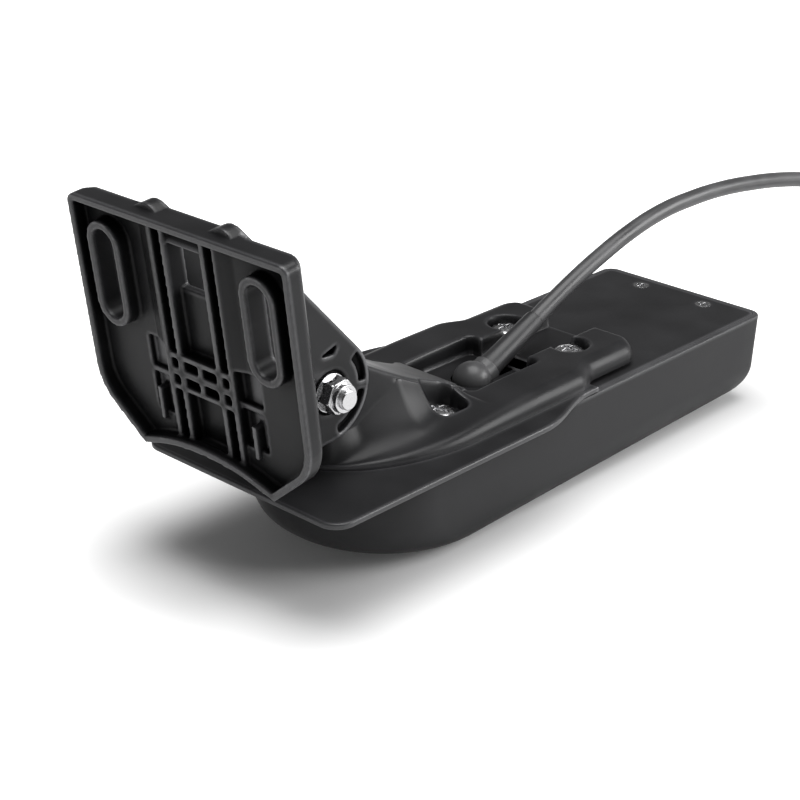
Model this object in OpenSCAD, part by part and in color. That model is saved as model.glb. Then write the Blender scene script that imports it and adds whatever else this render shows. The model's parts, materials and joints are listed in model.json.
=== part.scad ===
// Sonar transducer on a kick-up transom bracket, with its cable wound up behind it.
// Millimetres. +X points aft, +Z points up. The tub stands on Z = 0 and the origin is on its flat underside.

/* [Tub] */
// Width of the tub at the deck
tub_w = 70; // [56:1:90]
// Height of the tub from its underside to the deck
tub_h = 33; // [28:1:45]
// Distance from the origin aft to the stern wall at deck level
tub_aft = 112; // [108:1:150]
// Distance from the origin forward to the nose at deck level
tub_fore = 94; // [90:1:110]
// Length over which the nose sweeps up from the underside
nose_len = 62; // [50:1:66]
// Fullness of the nose's sweep, 2 for an ellipse and more for a blunter nose
nose_power = 4; // [3:0.5:5]
// Inward lean of the walls, in millimetres per millimetre of depth
tub_draft = 0.04; // [0:0.01:0.08]
// Radius of the rounded lower edges at the stern
edge_r = 13.5; // [8:0.5:14]
// Radius of the rounded lower edges at the nose
edge_fore_r = 7; // [6:0.5:10]
// Plan radius of the nose corners
nose_r = 33; // [26:1:34]
// Plan radius of the stern corners
stern_r = 5; // [3:0.5:10]
// Thickness of the walls and floor
wall_t = 4; // [3:0.5:6]

/* [Lid] */
// Thickness of the deck lid
lid_t = 2.2; // [1.6:0.1:4]
// Thickness of the gasket under the lid
gasket_t = 0.8; // [0.4:0.1:1.5]
// Width of the tub rim that stays outside the lid
rim_w = 2; // [1:0.5:2.5]
// Gap around the edge of the lid
lid_clear = 0.1; // [0.05:0.05:0.3]
// Distance of the aft deck screws from the origin
deck_screw_aft = 104; // [98:1:105]
// Distance of the forward deck screws from the origin
deck_screw_fore = 74; // [70:1:78]
// Sideways offset of the deck screws
deck_screw_y = 14; // [8:1:18]
// Head radius of the deck screws
deck_head_r = 2.9; // [2:0.1:3.5]
// Shank radius of the deck screws
deck_shank_r = 1.4; // [1:0.1:2]
// Length of the deck screws
deck_screw_len = 12; // [8:1:16]
// Depth of the well that the cable gland stands in
well_d = 4; // [2:0.5:6]

/* [Saddle] */
// Overall width of the spray flange
flange_w = 85; // [75:1:100]
// Thickness of the spray flange
flange_t = 2; // [1.5:0.1:3]
// Distance from the origin forward to the flange's front edge
flange_fore = 112; // [104:1:130]
// Distance from the origin aft to the flange's rear edge
flange_aft = 16; // [13:1:20]
// Corner radius at the front of the flange
flange_r = 7; // [3:0.5:12]
// Start of the curve where the flange narrows to the tub
flange_bend_x = -19.5; // [-40:0.5:-10]
// End of the curve where the flange narrows to the tub
flange_bend_end = 12; // [5:0.5:12.5]
// Width of the raised block on the flange
block_w = 67.4; // [60:0.2:70]
// Height of the block's top above the deck
block_h = 8; // [7:0.5:10]
// Distance from the origin aft to the rear end of the arms
block_aft = 45; // [42:1:60]
// Width across the two rear arms
arm_w = 59; // [54:1:64]
// Plan radius of the rear corners of the arms
arm_r = 6; // [3:0.5:10]
// Radius of the block's shoulder
shoulder_r = 3; // [1:0.5:4]
// Front end of the neck's foot
foot_x = -93; // [-98:0.5:-88]
// Place where the foot reaches its full width
foot_full_x = -42; // [-55:1:-36]
// Width of the neck between the bracket's cheeks
neck_w = 26; // [20:0.5:32]
// Radius of the neck's hub around the pivot
hub_r = 12; // [9:0.5:12.5]
// Distance of the pivot forward of the origin
pivot_fore = 89.4; // [86:0.2:94]
// Height of the pivot above the deck
pivot_h = 28.9; // [27:0.1:34]
// Width of the trough around the cable gland
trough_w = 30.6; // [26:0.2:34]
// Front end of the trough
trough_x = -24; // [-28:1:-22]
// Place where the trough narrows
trough_step_x = 9; // [6:1:12]
// Width of the narrow part of the trough
slot_w = 20.4; // [14:0.2:22]

/* [Saddle screws] */
// Distance of the forward screws from the origin
screw_fore = 39.5; // [36:0.5:44]
// Sideways offset of the forward screws
screw_fore_y = 15; // [13:0.5:18]
// Distance of the aft screws from the origin
screw_aft = 26.5; // [22:0.5:32]
// Sideways offset of the aft screws
screw_aft_y = 14; // [12:0.5:18]
// Radius of the round pocket over each screw
pocket_r = 6.5; // [5.5:0.1:7]
// Height of the pocket's floor above the deck
pocket_h = 4; // [3:0.5:5]
// Shank radius of the screws
screw_r = 2.4; // [2:0.1:3]
// Head radius of the screws
head_r = 5.2; // [4:0.1:5.6]
// Head height of the screws
head_h = 2.6; // [2:0.1:3.5]
// Length of the screws under the head
screw_len = 11; // [9:0.5:12]
// Outer radius of the threaded inserts
insert_r = 3.2; // [3.1:0.1:4]
// Length of the threaded inserts
insert_len = 8; // [6:0.5:9]

/* [Bracket] */
// Lean of the back plate from upright, top forward
lean = 7; // [0:0.5:15]
// Width of the back plate
plate_w = 91; // [86:1:100]
// Height of the plate's top edge above the pivot
plate_top = 61.6; // [55:0.2:75]
// Distance of the transom face forward of the pivot
plate_back = 35; // [32:0.5:42]
// Depth of the plate
plate_d = 7.5; // [7.5:0.1:9]
// Depth of the plate's thin side edges
side_d = 5; // [4:0.1:6]
// Width over which the plate's back slopes to the side edges
slope_w = 2.5; // [1:0.1:3]
// Width of the rim around the plate
rim_t = 2.2; // [1.8:0.1:3]
// Depth of the side panels below the rim
panel_in = 4.5; // [3:0.1:5]
// Height of the top rim
top_rim = 2; // [1.5:0.1:5]
// Distance of the mounting slots from the middle
slot_y = 32; // [29:0.5:34]
// Height of the slots' middle above the pivot
slot_z = 39; // [35:0.5:42]
// Width of each slot boss
boss_w = 14; // [12:0.5:15]
// Length of each slot boss
boss_len = 33; // [28:0.5:36]
// Wall around each slot
boss_wall = 2.5; // [2:0.1:3]
// Half width of the central spine
spine_hw = 14.5; // [14:0.5:18]
// Depth of the ribs' edges below the rim
rib_in = 2.7; // [1:0.1:3]
// Depth of the spine's panel below the rim
spine_in = 6.6; // [6:0.1:7]
// Depth of the spine's front face from the transom face
spine_d = 9.5; // [9:0.1:11]
// Thickness of the ribs
rib_t = 1.8; // [1.2:0.1:2.5]
// Thickness of each cheek
cheek_t = 4.5; // [4:0.1:6]
// Radius of each cheek around the pivot
cheek_r = 16; // [14:0.1:16.2]
// Depth of the hollows in the cheeks
core_d = 2.5; // [1:0.1:3]

/* [Pivot] */
// Shank radius of the pivot bolt
bolt_r = 3; // [2.5:0.1:4]
// Width across flats of the bolt's head and nut
hex_w = 10; // [9:0.5:13]
// Height of the bolt's head
bolt_head_h = 4; // [3:0.5:5]
// Height of the nut's hexagon
nut_h = 4.5; // [4:0.1:6]
// Height of the round collar on the nut
collar_h = 1.8; // [1:0.1:3]
// Outer radius of the washers
washer_r = 6; // [5.5:0.1:7.5]
// Thickness of the washers
washer_t = 1.2; // [0.8:0.1:2]
// Depth of the washers' seats in the cheeks
seat_d = 1; // [0.5:0.1:1.5]
// Outer radius of the bush in the neck
bush_r = 4.5; // [4.2:0.1:6]
// Radial running clearance of the bolt in the bush
run_clear = 0.05; // [0.02:0.01:0.1]
// Gap between each cheek and the neck
side_clear = 0.3; // [0.2:0.05:0.6]
// Radial clearance of parts that are pushed together
fit_clear = 0.03; // [0.02:0.01:0.08]

/* [Gland] */
// Place of the gland along the deck
gland_x = -7; // [-9:0.5:-5]
// Radius of the gland's dome
dome_r = 6.5; // [6:0.1:7]
// Height of the middle of the dome above the deck
dome_h = 1; // [0.5:0.1:3]
// Radius of the collar that the cable leaves
gland_collar_r = 5; // [4.6:0.1:5.4]
// Radius of the gland's stem through the lid
stem_r = 4; // [3.5:0.1:4.5]
// Thickness of the nut under the lid
gland_nut_t = 4; // [3:0.5:5]
// Length of the strain-relief boot
boot_len = 26; // [20:1:32]
// Radius of the boot where it leaves the gland
boot_r = 4.2; // [3.8:0.1:4.4]
// Radius of the boot's thin end
boot_tip_r = 3.4; // [3.3:0.1:3.7]

/* [Cable] */
// Diameter of the cable
cable_d = 5.8; // [5:0.1:6.2]
// Mean radius of the wound cable
coil_r = 35; // [30:1:45]
// Turns side by side and on top of each other in the coil
coil_rows = 5; // [4:1:6]
// Thickness of the ties around the coil
tie_t = 1.2; // [0.8:0.1:2]
// Outer radius of the connector's locking ring
plug_ring_r = 10; // [9.5:0.1:12]
// Outer radius of the connector's body
plug_r = 8; // [7.6:0.1:9]
// Length of the connector's body
plug_len = 30; // [26:1:40]
// Length of the connector's boot
plug_boot_len = 20; // [15:1:25]

/* [Inside] */
// Height of the element carrier
carrier_h = 9; // [8:0.5:11]
// Floor under the elements in the carrier
carrier_floor = 2; // [1:0.5:3]
// Width of the down-looking element
down_w = 8; // [6:0.5:9]
// Width of each side-looking element
side_w = 5; // [4:0.5:6]
// Sideways offset of the side-looking elements
side_y = 12.5; // [12:0.5:13]
// Length of the long elements
bar_len = 118; // [100:1:120]
// Place of the middle of the long elements
bar_x = 25; // [22:1:27]
// Radius of the round element
disc_r = 11; // [9:0.5:11.5]
// Distance of the round element's middle from the front end of the long elements
disc_x = 14; // [13:0.5:16]
// Thickness of the backing pads
pad_t = 2; // [1:0.5:3]
// Height of the posts under the circuit board
post_h = 4; // [3.5:0.5:5]
// Radius of the posts under the circuit board
post_r = 2.2; // [1.5:0.1:2.5]
// Thickness of the circuit board
board_t = 1.6; // [1:0.1:2]
// Length of the circuit board
board_len = 49; // [44:1:54]
// Width of the circuit board
board_w = 26; // [22:1:30]
// Place of the middle of the circuit board
board_x = -7.5; // [-10:0.5:-5]
// Radius of the ring core on the circuit board
core_r = 6; // [4:0.5:7]
// Height of the ring core on the circuit board
core_h = 5; // [3:0.5:6]
// Width of the largest chip on the circuit board
chip_w = 9; // [6:0.5:10]
// Height of the chips on the circuit board
chip_h = 1.4; // [1:0.1:2]
// Margin of the carrier around its elements
carrier_edge = 2.3; // [1.5:0.1:3]
// Gap around the elements in their pockets
element_clear = 0.1; // [0.05:0.05:0.3]

/* [Hidden] */
$fn = 48;
eps = 0.01;
black = [0.10, 0.10, 0.11];
steel = [0.75, 0.76, 0.78];
brass = [0.78, 0.63, 0.32];
nylon = [0.85, 0.87, 0.90];
ceramic = [0.83, 0.78, 0.68];

// Lid seat, well and posts
lid_z = tub_h - lid_t;
seat_z = lid_z - gasket_t;
cavity_h = tub_h - wall_t;
well_z = tub_h - well_d;
well_x0 = -16;
well_x1 = 10;
well_w = 20;
well_wall = 3;
post_wall_r = deck_shank_r + 2;
post_base_z = wall_t + 0.6;
insert_boss_r = insert_r + 1.8;
insert_boss_len = insert_len + 1;

// Saddle levels
block_z = tub_h + block_h;
flange_z = tub_h + flange_t;
pocket_z = tub_h + pocket_h;
pivot_x = -pivot_fore;
pivot_z = tub_h + pivot_h;
screw_spots = [
    [-screw_fore, screw_fore_y], [-screw_fore, -screw_fore_y],
    [screw_aft, screw_aft_y], [screw_aft, -screw_aft_y]];
deck_spots = [
    [deck_screw_aft, deck_screw_y], [deck_screw_aft, -deck_screw_y],
    [-deck_screw_fore, deck_screw_y], [-deck_screw_fore, -deck_screw_y]];

// Bracket, in its own upright frame with the pivot at the origin
cheek_in = neck_w / 2 + side_clear;
cheek_out = cheek_in + cheek_t;
seat_y = cheek_out - seat_d;
face_x = -plate_back;
front_x = face_x + spine_d;
knee_r = 16;
knee_z = 6.6;
plate_low = -15.5;
foot_y = 27.5;
arch_rise = 5;
arch_r = (foot_y * foot_y + arch_rise * arch_rise) / (2 * arch_rise);
spine_z0 = plate_low + arch_rise + 1;
spine_z1 = plate_top - top_rim;
inner_rib_y = 8.3;
waffle_z0 = 7;
waffle_z1 = 19;
bump_w = 16;
bump_h = 1.8;
recess_w = 9;
recess_mid = spine_hw + recess_w / 2;
recess_z = [[-3.5, 8.5], [10.5, 20.5]];
window_z0 = 39;
window_z1 = 54;

// Cable: the route from the gland to the coil, and from the coil to the connector
cable_r = cable_d / 2;
route = [
    [1, 0, 36], [17, 0, 43], [33, 0, 50], [47, 0, 55.6], [60, 0, 60], [76, 0, 64.4], [94, 0, 67.4],
    [112, 0, 68], [131, 0, 67.2], [151, 0, 64.8], [171, 0, 61.4], [190, 0, 57], [212, 2, 50],
    [232, 7, 41.5], [250, 13, 31.5], [266, 19, 21.5], [281, 23.8, 13], [294, 27.4, 7.4],
    [306, 29.9, 4.9], [316, 31.2, 4.2], [325, 31.6, 4.1]];
tail = [
    [325, -61.6, 9.9], [312, -61.6, 9.9], [298, -61.6, 10], [286, -61.6, 10], [276, -61.6, 10],
    [266, -61.6, 10]];
coil_x = 325;
coil_y = -15;
coil_side = coil_rows * cable_d;
boot_angle = atan2(route[1][2] - route[0][2], route[1][0] - route[0][0]);
bore_clear = 0.15;
plug_x = tail[5][0];
plug_y = tail[5][1];
plug_z = plug_ring_r;

// Inside the tub
disc_mid = bar_x - bar_len / 2 - disc_x;
sensor_r = 1.9;
sensor_x = bar_x + bar_len / 2 + sensor_r + 2.6;
carrier_x0 = disc_mid - disc_r - carrier_edge;
carrier_x1 = sensor_x + sensor_r + carrier_edge;
carrier_hw = side_y + side_w / 2 + carrier_edge;
carrier_z = wall_t + floor_rise(carrier_x0) + 0.1;
carrier_top = carrier_z + carrier_h;
element_z = carrier_z + carrier_floor;
board_z = carrier_top + post_h;
board_spots = [for (i = [-1, 1]) for (j = [-1, 1])
    [board_x + i * (board_len / 2 - 7), j * (board_w / 2 - 6)]];

// Arc of a circle as a list of points
function arc(cx, cy, r, a0, a1, n) =
    [for (i = [0 : n]) let (a = a0 + (a1 - a0) * i / n) [cx + r * cos(a), cy + r * sin(a)]];

// Smooth step from 0 to 1
function ease(t) = (1 - cos(180 * min(1, max(0, t)))) / 2;

// Outline with one half width and radius at the nose and another at the stern
function boat(xf, xr, hf, hr, rf, rr) = concat(
    arc(xr - rr, hr - rr, rr, 0, 90, 4),
    arc(xf + rf, hf - rf, rf, 90, 180, 8),
    arc(xf + rf, -hf + rf, rf, 180, 270, 8),
    arc(xr - rr, -hr + rr, rr, 270, 360, 4));

// How far a wall has turned in at depth d where a radius r meets the floor at depth h
function turn_in(d, r, h) = d < h - r ? 0 : r - sqrt(max(0, r * r - pow(d - h + r, 2)));

// Outline of the tub at depth d below the deck, moved in by skin
function tub_outline(d, skin) =
    let (h = tub_h - skin)
    let (side = skin + tub_draft * d)
    let (aft = side + turn_in(d, edge_r - skin / 2, h))
    let (hf = tub_w / 2 - side - turn_in(d, edge_fore_r - skin / 2, h))
    let (sweep = nose_len * (1 - pow(1 - pow(min(1, d / h), nose_power), 1 / nose_power)))
    boat(
        -tub_fore + skin + sweep, tub_aft - aft, hf, tub_w / 2 - aft,
        min(nose_r, hf - 1), max(1.5, stern_r - skin / 2));

// How far the cavity's floor has risen at x, near the nose
function floor_rise(x) =
    let (u = max(0, 1 - (x + tub_fore - wall_t) / nose_len))
    cavity_h * (1 - pow(1 - pow(u, nose_power), 1 / nose_power));

function at_height(outline, z) = [for (p = outline) [p[0], p[1], z]];

// Solid through a stack of rings that have the same number of points
module loft(rings) {
    n = len(rings[0]);
    m = len(rings);
    sides = [
        for (k = [0 : m - 2]) for (i = [0 : n - 1])
            let (a = k * n + i, b = k * n + (i + 1) % n)
            each [[a, a + n, b], [b, a + n, b + n]]];
    caps = [[for (i = [0 : n - 1]) i], [for (i = [0 : n - 1]) m * n - 1 - i]];
    polyhedron(points = [for (r = rings) each r], faces = concat(caps, sides), convexity = 8);
}

// Outline in Y and Z, extruded along X from x0 to x1
module along_x(x0, x1) {
    translate([x0, 0, 0]) rotate([90, 0, 90]) linear_extrude(x1 - x0) children();
}

// Outline in X and Z, extruded along Y from y0 to y1
module along_y(y0, y1) {
    translate([0, y1, 0]) rotate([90, 0, 0]) linear_extrude(y1 - y0) children();
}

module rod(r, h) {
    cylinder(r = r, h = h);
}

module tube(r_out, r_in, h) {
    difference() {
        rod(r_out, h);
        translate([0, 0, -1]) rod(r_in, h + 2);
    }
}

module hexagon(w, h) {
    cylinder(r = w / sqrt(3), h = h, $fn = 6);
}

module lid_outline(inset) {
    hw = tub_w / 2 - inset;
    polygon(boat(-tub_fore + inset, tub_aft - inset, hw, hw, min(nose_r - inset, hw - 1), stern_r - rim_w));
}

module tub() {
    outer = [1, 0.98, 0.94, 0.88, 0.8, 0.7, 0.6, 0.4, 0];
    color(black) difference() {
        union() {
            difference() {
                loft([for (f = outer) at_height(tub_outline(f * tub_h, 0), tub_h * (1 - f))]);
                loft(concat(
                    [for (f = outer) at_height(tub_outline(f * cavity_h, wall_t), tub_h - f * cavity_h)],
                    [at_height(tub_outline(0, wall_t), tub_h + 1)]));
                translate([0, 0, seat_z]) linear_extrude(lid_t + gasket_t + 1) lid_outline(rim_w);
            }
            for (p = deck_spots) translate([p[0], p[1], post_base_z]) rod(post_wall_r, lid_z - post_base_z);
        }
        for (p = deck_spots)
            translate([p[0], p[1], tub_h - deck_screw_len - 1])
                rod(deck_shank_r + fit_clear, deck_screw_len + 2);
    }
}

module deck_lid() {
    color(black) difference() {
        union() {
            translate([0, 0, lid_z]) linear_extrude(lid_t) lid_outline(rim_w + lid_clear);
            for (p = screw_spots)
                translate([p[0], p[1], lid_z - insert_boss_len]) rod(insert_boss_r, insert_boss_len + eps);
            translate([well_x0 - well_wall, -well_w / 2 - well_wall, well_z - well_wall])
                cube([
                    well_x1 - well_x0 + 2 * well_wall, well_w + 2 * well_wall,
                    lid_z - well_z + well_wall + eps]);
        }
        for (p = screw_spots) translate([p[0], p[1], lid_z - insert_boss_len - 1])
            rod(insert_r + fit_clear, insert_boss_len + lid_t + 2);
        for (p = deck_spots) translate([p[0], p[1], lid_z - 1]) rod(deck_shank_r + 0.2, lid_t + 2);
        for (p = deck_spots) translate([p[0], p[1], tub_h - deck_head_r + deck_shank_r])
            cylinder(
                r1 = deck_shank_r + fit_clear, r2 = deck_head_r + fit_clear, h = deck_head_r - deck_shank_r);
        translate([well_x0, -well_w / 2, well_z]) cube([well_x1 - well_x0, well_w, well_d + 1]);
        translate([gland_x, 0, well_z - well_wall - 1]) rod(stem_r + fit_clear, well_wall + 2);
    }
}

module lid_gasket() {
    color([0.05, 0.05, 0.05]) translate([0, 0, seat_z]) linear_extrude(gasket_t) difference() {
        lid_outline(rim_w + lid_clear);
        polygon(tub_outline(0, wall_t));
    }
}

module deck_screws() {
    cone_h = deck_head_r - deck_shank_r;
    color(steel) for (p = deck_spots) translate([p[0], p[1], tub_h]) difference() {
        union() {
            translate([0, 0, -cone_h]) cylinder(r1 = deck_shank_r, r2 = deck_head_r, h = cone_h);
            translate([0, 0, -deck_screw_len]) rod(deck_shank_r, deck_screw_len - cone_h + eps);
        }
        cross_drive(deck_head_r, 0.8);
    }
}

// Cross recess cut into a screw head whose top is at Z = 0
module cross_drive(r, depth) {
    for (a = [0, 90]) rotate(a) translate([-r * 0.6, -r * 0.12, -depth]) cube([r * 1.2, r * 0.24, depth + 1]);
}

module element_carrier() {
    color([0.22, 0.23, 0.25]) difference() {
        union() {
            translate([0, 0, carrier_z]) linear_extrude(carrier_h)
                polygon(boat(carrier_x0, carrier_x1, carrier_hw, carrier_hw, carrier_hw - 1, 4));
            for (p = board_spots) translate([p[0], p[1], carrier_top - 1]) rod(post_r, post_h + 1);
        }
        translate([0, 0, element_z])
            linear_extrude(carrier_h + post_h + 5) bar_outline(down_w, element_clear);
        for (s = [-1, 1]) translate([0, s * side_y, element_z])
            linear_extrude(carrier_h + post_h + 5) bar_outline(side_w, element_clear);
        translate([disc_mid, 0, element_z]) rod(disc_r + element_clear, carrier_h);
        translate([sensor_x, 0, element_z]) rod(sensor_r + element_clear, carrier_h);
    }
}

// Footprint of a long element
module bar_outline(w, grow) {
    translate([bar_x - bar_len / 2 - grow, -w / 2 - grow]) square([bar_len + 2 * grow, w + 2 * grow]);
}

module down_element() {
    color(ceramic) translate([0, 0, element_z])
        linear_extrude(carrier_top - element_z) bar_outline(down_w, 0);
}

module side_elements() {
    color(ceramic) for (s = [-1, 1]) translate([0, s * side_y, element_z])
        linear_extrude(carrier_top - element_z) bar_outline(side_w, 0);
}

module round_element() {
    color(ceramic) translate([disc_mid, 0, element_z]) rod(disc_r, carrier_top - element_z);
}

module backing_pads() {
    color([0.45, 0.33, 0.22]) translate([0, 0, carrier_top]) {
        linear_extrude(pad_t) bar_outline(down_w, 0);
        for (s = [-1, 1]) translate([0, s * side_y, 0]) linear_extrude(pad_t) bar_outline(side_w, 0);
        translate([disc_mid, 0, 0]) rod(disc_r, pad_t);
    }
}

module circuit_board() {
    color([0.10, 0.32, 0.18]) translate([board_x - board_len / 2, -board_w / 2, board_z])
        cube([board_len, board_w, board_t]);
}

module board_components() {
    top = board_z + board_t;
    color([0.15, 0.15, 0.16]) {
        translate([board_x - board_len / 2 + core_r + 2, 0, top]) tube(core_r, core_r * 0.4, core_h);
        translate([board_x + 5, board_w / 2 - chip_w, top]) cube([chip_w, chip_w * 0.8, chip_h]);
        translate([board_x + 5, -board_w / 2 + 3, top]) cube([chip_w * 0.7, chip_w * 0.6, chip_h]);
        translate([board_x + board_len / 2 - chip_w + 1, -chip_w * 0.65, top])
            cube([chip_w * 0.7, chip_w * 1.3, chip_h * 2]);
    }
}

module temperature_sensor() {
    color(steel) translate([sensor_x, 0, element_z]) rod(sensor_r, carrier_h);
}

// Outline of the spray flange: square front with round corners, narrowing to the tub at the rear
function flange_edge() = concat(
    [for (i = [0 : 12]) let (t = i / 12) [
        flange_bend_end + (flange_bend_x - flange_bend_end) * t,
        tub_w / 2 + (flange_w - tub_w) / 2 * ease(t)]],
    arc(-flange_fore + flange_r, flange_w / 2 - flange_r, flange_r, 90, 180, 8));

function mirrored(points) = [for (i = [len(points) - 1 : -1 : 0]) [points[i][0], -points[i][1]]];

module flange() {
    edge = concat([[flange_aft, tub_w / 2]], flange_edge());
    translate([0, 0, tub_h]) linear_extrude(flange_t) polygon(concat(edge, mirrored(edge)));
}

// Half width of the saddle's foot at x
function foot_hw(x) =
    x < foot_full_x ? block_w / 2 * sqrt(1 - pow((foot_full_x - x) / (foot_full_x - foot_x), 2)) :
    x < block_aft - arm_r ? block_w / 2 - (block_w - arm_w) / 2 * ease((x - trough_step_x) / 12) :
    arm_w / 2 - arm_r + sqrt(max(0, arm_r * arm_r - pow(x - block_aft + arm_r, 2)));

// Height above the deck of the saddle's ridge at x
ridge_x0 = pivot_x + hub_r * 0.6;
ridge_x1 = -17;
function ridge_h(x) =
    x > ridge_x1 ? block_h - (x > block_aft - 2 ? 2 - sqrt(max(0, 4 - pow(x - block_aft + 2, 2))) : 0) :
    x < ridge_x0 ? pivot_h - 7 * (ridge_x0 - x) / (ridge_x0 - foot_x) :
    block_h + (pivot_h + hub_r * 0.75 - block_h) * pow((ridge_x1 - x) / (ridge_x1 - ridge_x0), 1.4);

// Height above the deck of the shoulder at the foot's edge
function shoulder_h(x) =
    min(ridge_h(x), block_h - (block_h - 3.6) * pow(min(1, max(0, (-10 - x) / 75)), 1.3));

// Height above the deck where the flank reaches the neck's own width
function flank_h(x) = max(shoulder_h(x), min(ridge_h(x) - 1.2, 12 + max(0, x + 75) * 0.5));

// Half of the saddle's section at x, from the foot up to the ridge
function half_section(x) =
    let (w = foot_hw(x), s = shoulder_h(x), r = min(shoulder_r, s - flange_t - 0.4))
    let (n = min(neck_w / 2, w - r - 2), f = flank_h(x), top = ridge_h(x))
    concat(
        [[w, x < foot_x + 1 ? flange_t : 0]],
        arc(w - r, s - r, r, 0, 90, 3),
        [for (i = [1 : 4]) let (t = i / 5) [w - r + (n + 0.6 - w + r) * t, s + (f - s) * pow(t, 2.4)]],
        [[n + 0.6, f], [n, max(f, min(f + 1.5, top - 1))],
         [n - 0.1, max(f, top - 1)], [n - 1.2, max(f, top)]]);

function section(x) =
    let (half = half_section(x))
    concat(
        [for (p = half) [x, p[0], tub_h + p[1]]],
        [for (i = [len(half) - 1 : -1 : 0]) [x, -half[i][0], tub_h + half[i][1]]]);

module saddle() {
    stations = [
        -92.4, -90.5, -87, -82, -76, -69, -61, -52, -42, -32, -24, -17, trough_step_x,
        trough_step_x + 3, trough_step_x + 6, trough_step_x + 9, trough_step_x + 12,
        block_aft - arm_r, block_aft - arm_r / 2, block_aft - 1, block_aft];
    color(black) difference() {
        union() {
            flange();
            loft([for (x = stations) section(x)]);
            translate([pivot_x, 0, pivot_z]) along_y(-neck_w / 2, neck_w / 2) circle(hub_r);
        }
        translate([trough_x, -trough_w / 2, tub_h - 1])
            cube([trough_step_x - trough_x, trough_w, block_h + 20]);
        translate([trough_step_x - 1, -slot_w / 2, flange_z]) cube([block_aft, slot_w, block_h + 20]);
        for (p = screw_spots) {
            translate([p[0], p[1], pocket_z]) rod(pocket_r, 40);
            translate([p[0], p[1], tub_h - 1]) rod(screw_r + 0.3, pocket_h + 2);
        }
        translate([pivot_x, 0, pivot_z]) along_y(-neck_w, neck_w) circle(bush_r + fit_clear);
    }
}

module saddle_screws() {
    color(steel) for (p = screw_spots) translate([p[0], p[1], pocket_z]) difference() {
        union() {
            rotate_extrude() polygon(concat(
                [[0, 0], [head_r, 0], [head_r, head_h * 0.45]],
                arc(0, head_h * 0.45, head_h * 0.55, 0, 90, 6) * [[0, 0], [0, 1]] +
                    arc(0, 0, head_r, 0, 90, 6) * [[1, 0], [0, 0]]));
            translate([0, 0, -screw_len]) rod(screw_r, screw_len + eps);
        }
        translate([0, 0, head_h]) cross_drive(head_r, 1.4);
    }
}

module saddle_inserts() {
    color(brass) for (p = screw_spots)
        translate([p[0], p[1], tub_h - insert_len]) tube(insert_r, screw_r + fit_clear, insert_len);
}

module cable_gland() {
    color(black) difference() {
        union() {
            translate([gland_x, 0, well_z]) rod(dome_r, tub_h + dome_h - well_z);
            translate([gland_x, 0, tub_h + dome_h]) sphere(dome_r);
            translate(route[0]) rotate([0, 90 - boot_angle, 0]) translate([0, 0, -5]) rod(gland_collar_r, 5);
            translate([gland_x, 0, well_z - well_wall - gland_nut_t - 1])
                rod(stem_r, well_wall + gland_nut_t + 1 + eps);
        }
        translate([gland_x, 0, well_z - 1]) tube(stem_r + 2.1, stem_r + 0.3, 2.4);
    }
}

module gland_seal() {
    color([0.05, 0.05, 0.05]) translate([gland_x, 0, well_z + 0.7])
        rotate_extrude() translate([stem_r + 1.2, 0]) circle(0.7, $fn = 24);
}

module gland_nut() {
    color(nylon) translate([gland_x, 0, well_z - well_wall - gland_nut_t]) difference() {
        hexagon(stem_r * 3, gland_nut_t);
        translate([0, 0, -1]) rod(stem_r + fit_clear, gland_nut_t + 2);
    }
}

// Along the cable's first straight stretch, from the gland's collar
module on_exit() {
    translate(route[0]) rotate([0, 90 - boot_angle, 0]) children();
}

module strain_boot() {
    color(black) on_exit() difference() {
        cylinder(r1 = boot_r, r2 = boot_tip_r, h = boot_len);
        translate([0, 0, -1]) rod(cable_r + bore_clear, boot_len + 2);
    }
}

// Point on a smooth curve through four points
function smooth(a, b, c, d, t) =
    b + (c - a) * t / 2 + (2 * a - 5 * b + 4 * c - d) * t * t / 2 + (3 * b - a - 3 * c + d) * t * t * t / 2;

// Curve through all the points of a route, with a midpoint between each two
function curve(p) =
    let (n = len(p), q = concat([2 * p[0] - p[1]], p, [2 * p[n - 1] - p[n - 2]]))
    concat([for (i = [0 : n - 2]) each [p[i], smooth(q[i], q[i + 1], q[i + 2], q[i + 3], 0.5)]], [p[n - 1]]);

function unit(v) = v / norm(v);

// Ring of points around a route at its point i
function cord_ring(p, i, r, sides) =
    let (n = len(p) - 1, along = unit(p[min(n, i + 1)] - p[max(0, i - 1)]))
    let (across = unit(cross([0, 0, 1], along)), over = cross(along, across))
    [for (k = [0 : sides - 1]) let (a = 360 * k / sides) p[i] + r * (cos(a) * across + sin(a) * over)];

module cord(points) {
    path = curve(points);
    loft([for (i = [0 : len(path) - 1]) cord_ring(path, i, cable_r, 10)]);
}

module cable() {
    color(black) cord(route);
}

module cable_tail() {
    color(black) cord(tail);
}

module coil_section(grow) {
    r = cable_r + grow;
    translate([coil_r - coil_side / 2 + cable_r, cable_r]) offset(r = r, $fn = 16)
        square(coil_side - cable_d);
}

module cable_coil() {
    color(black) translate([coil_x, coil_y, tie_t]) rotate_extrude($fn = 64) coil_section(0);
}

module coil_ties() {
    color([0.16, 0.16, 0.17]) translate([coil_x, coil_y, tie_t]) for (a = [38, 218]) rotate(a)
        rotate_extrude(angle = 18, $fn = 64) difference() {
            coil_section(tie_t);
            coil_section(fit_clear);
        }
}

// Along the connector from its cable end, pointing forward
module on_plug() {
    translate([plug_x, plug_y, plug_z]) rotate([0, -90, 0]) children();
}

module connector_boot() {
    color(black) on_plug() translate([0, 0, -plug_boot_len]) difference() {
        union() {
            cylinder(r1 = cable_r + 1.2, r2 = plug_r - 1.5, h = plug_boot_len);
            for (i = [1 : 4]) translate([0, 0, i * plug_boot_len / 5]) rod(cable_r + 1.4 + i * 0.55, 1.6);
        }
        translate([0, 0, -1]) rod(cable_r + bore_clear, plug_boot_len + 2);
    }
}

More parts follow.
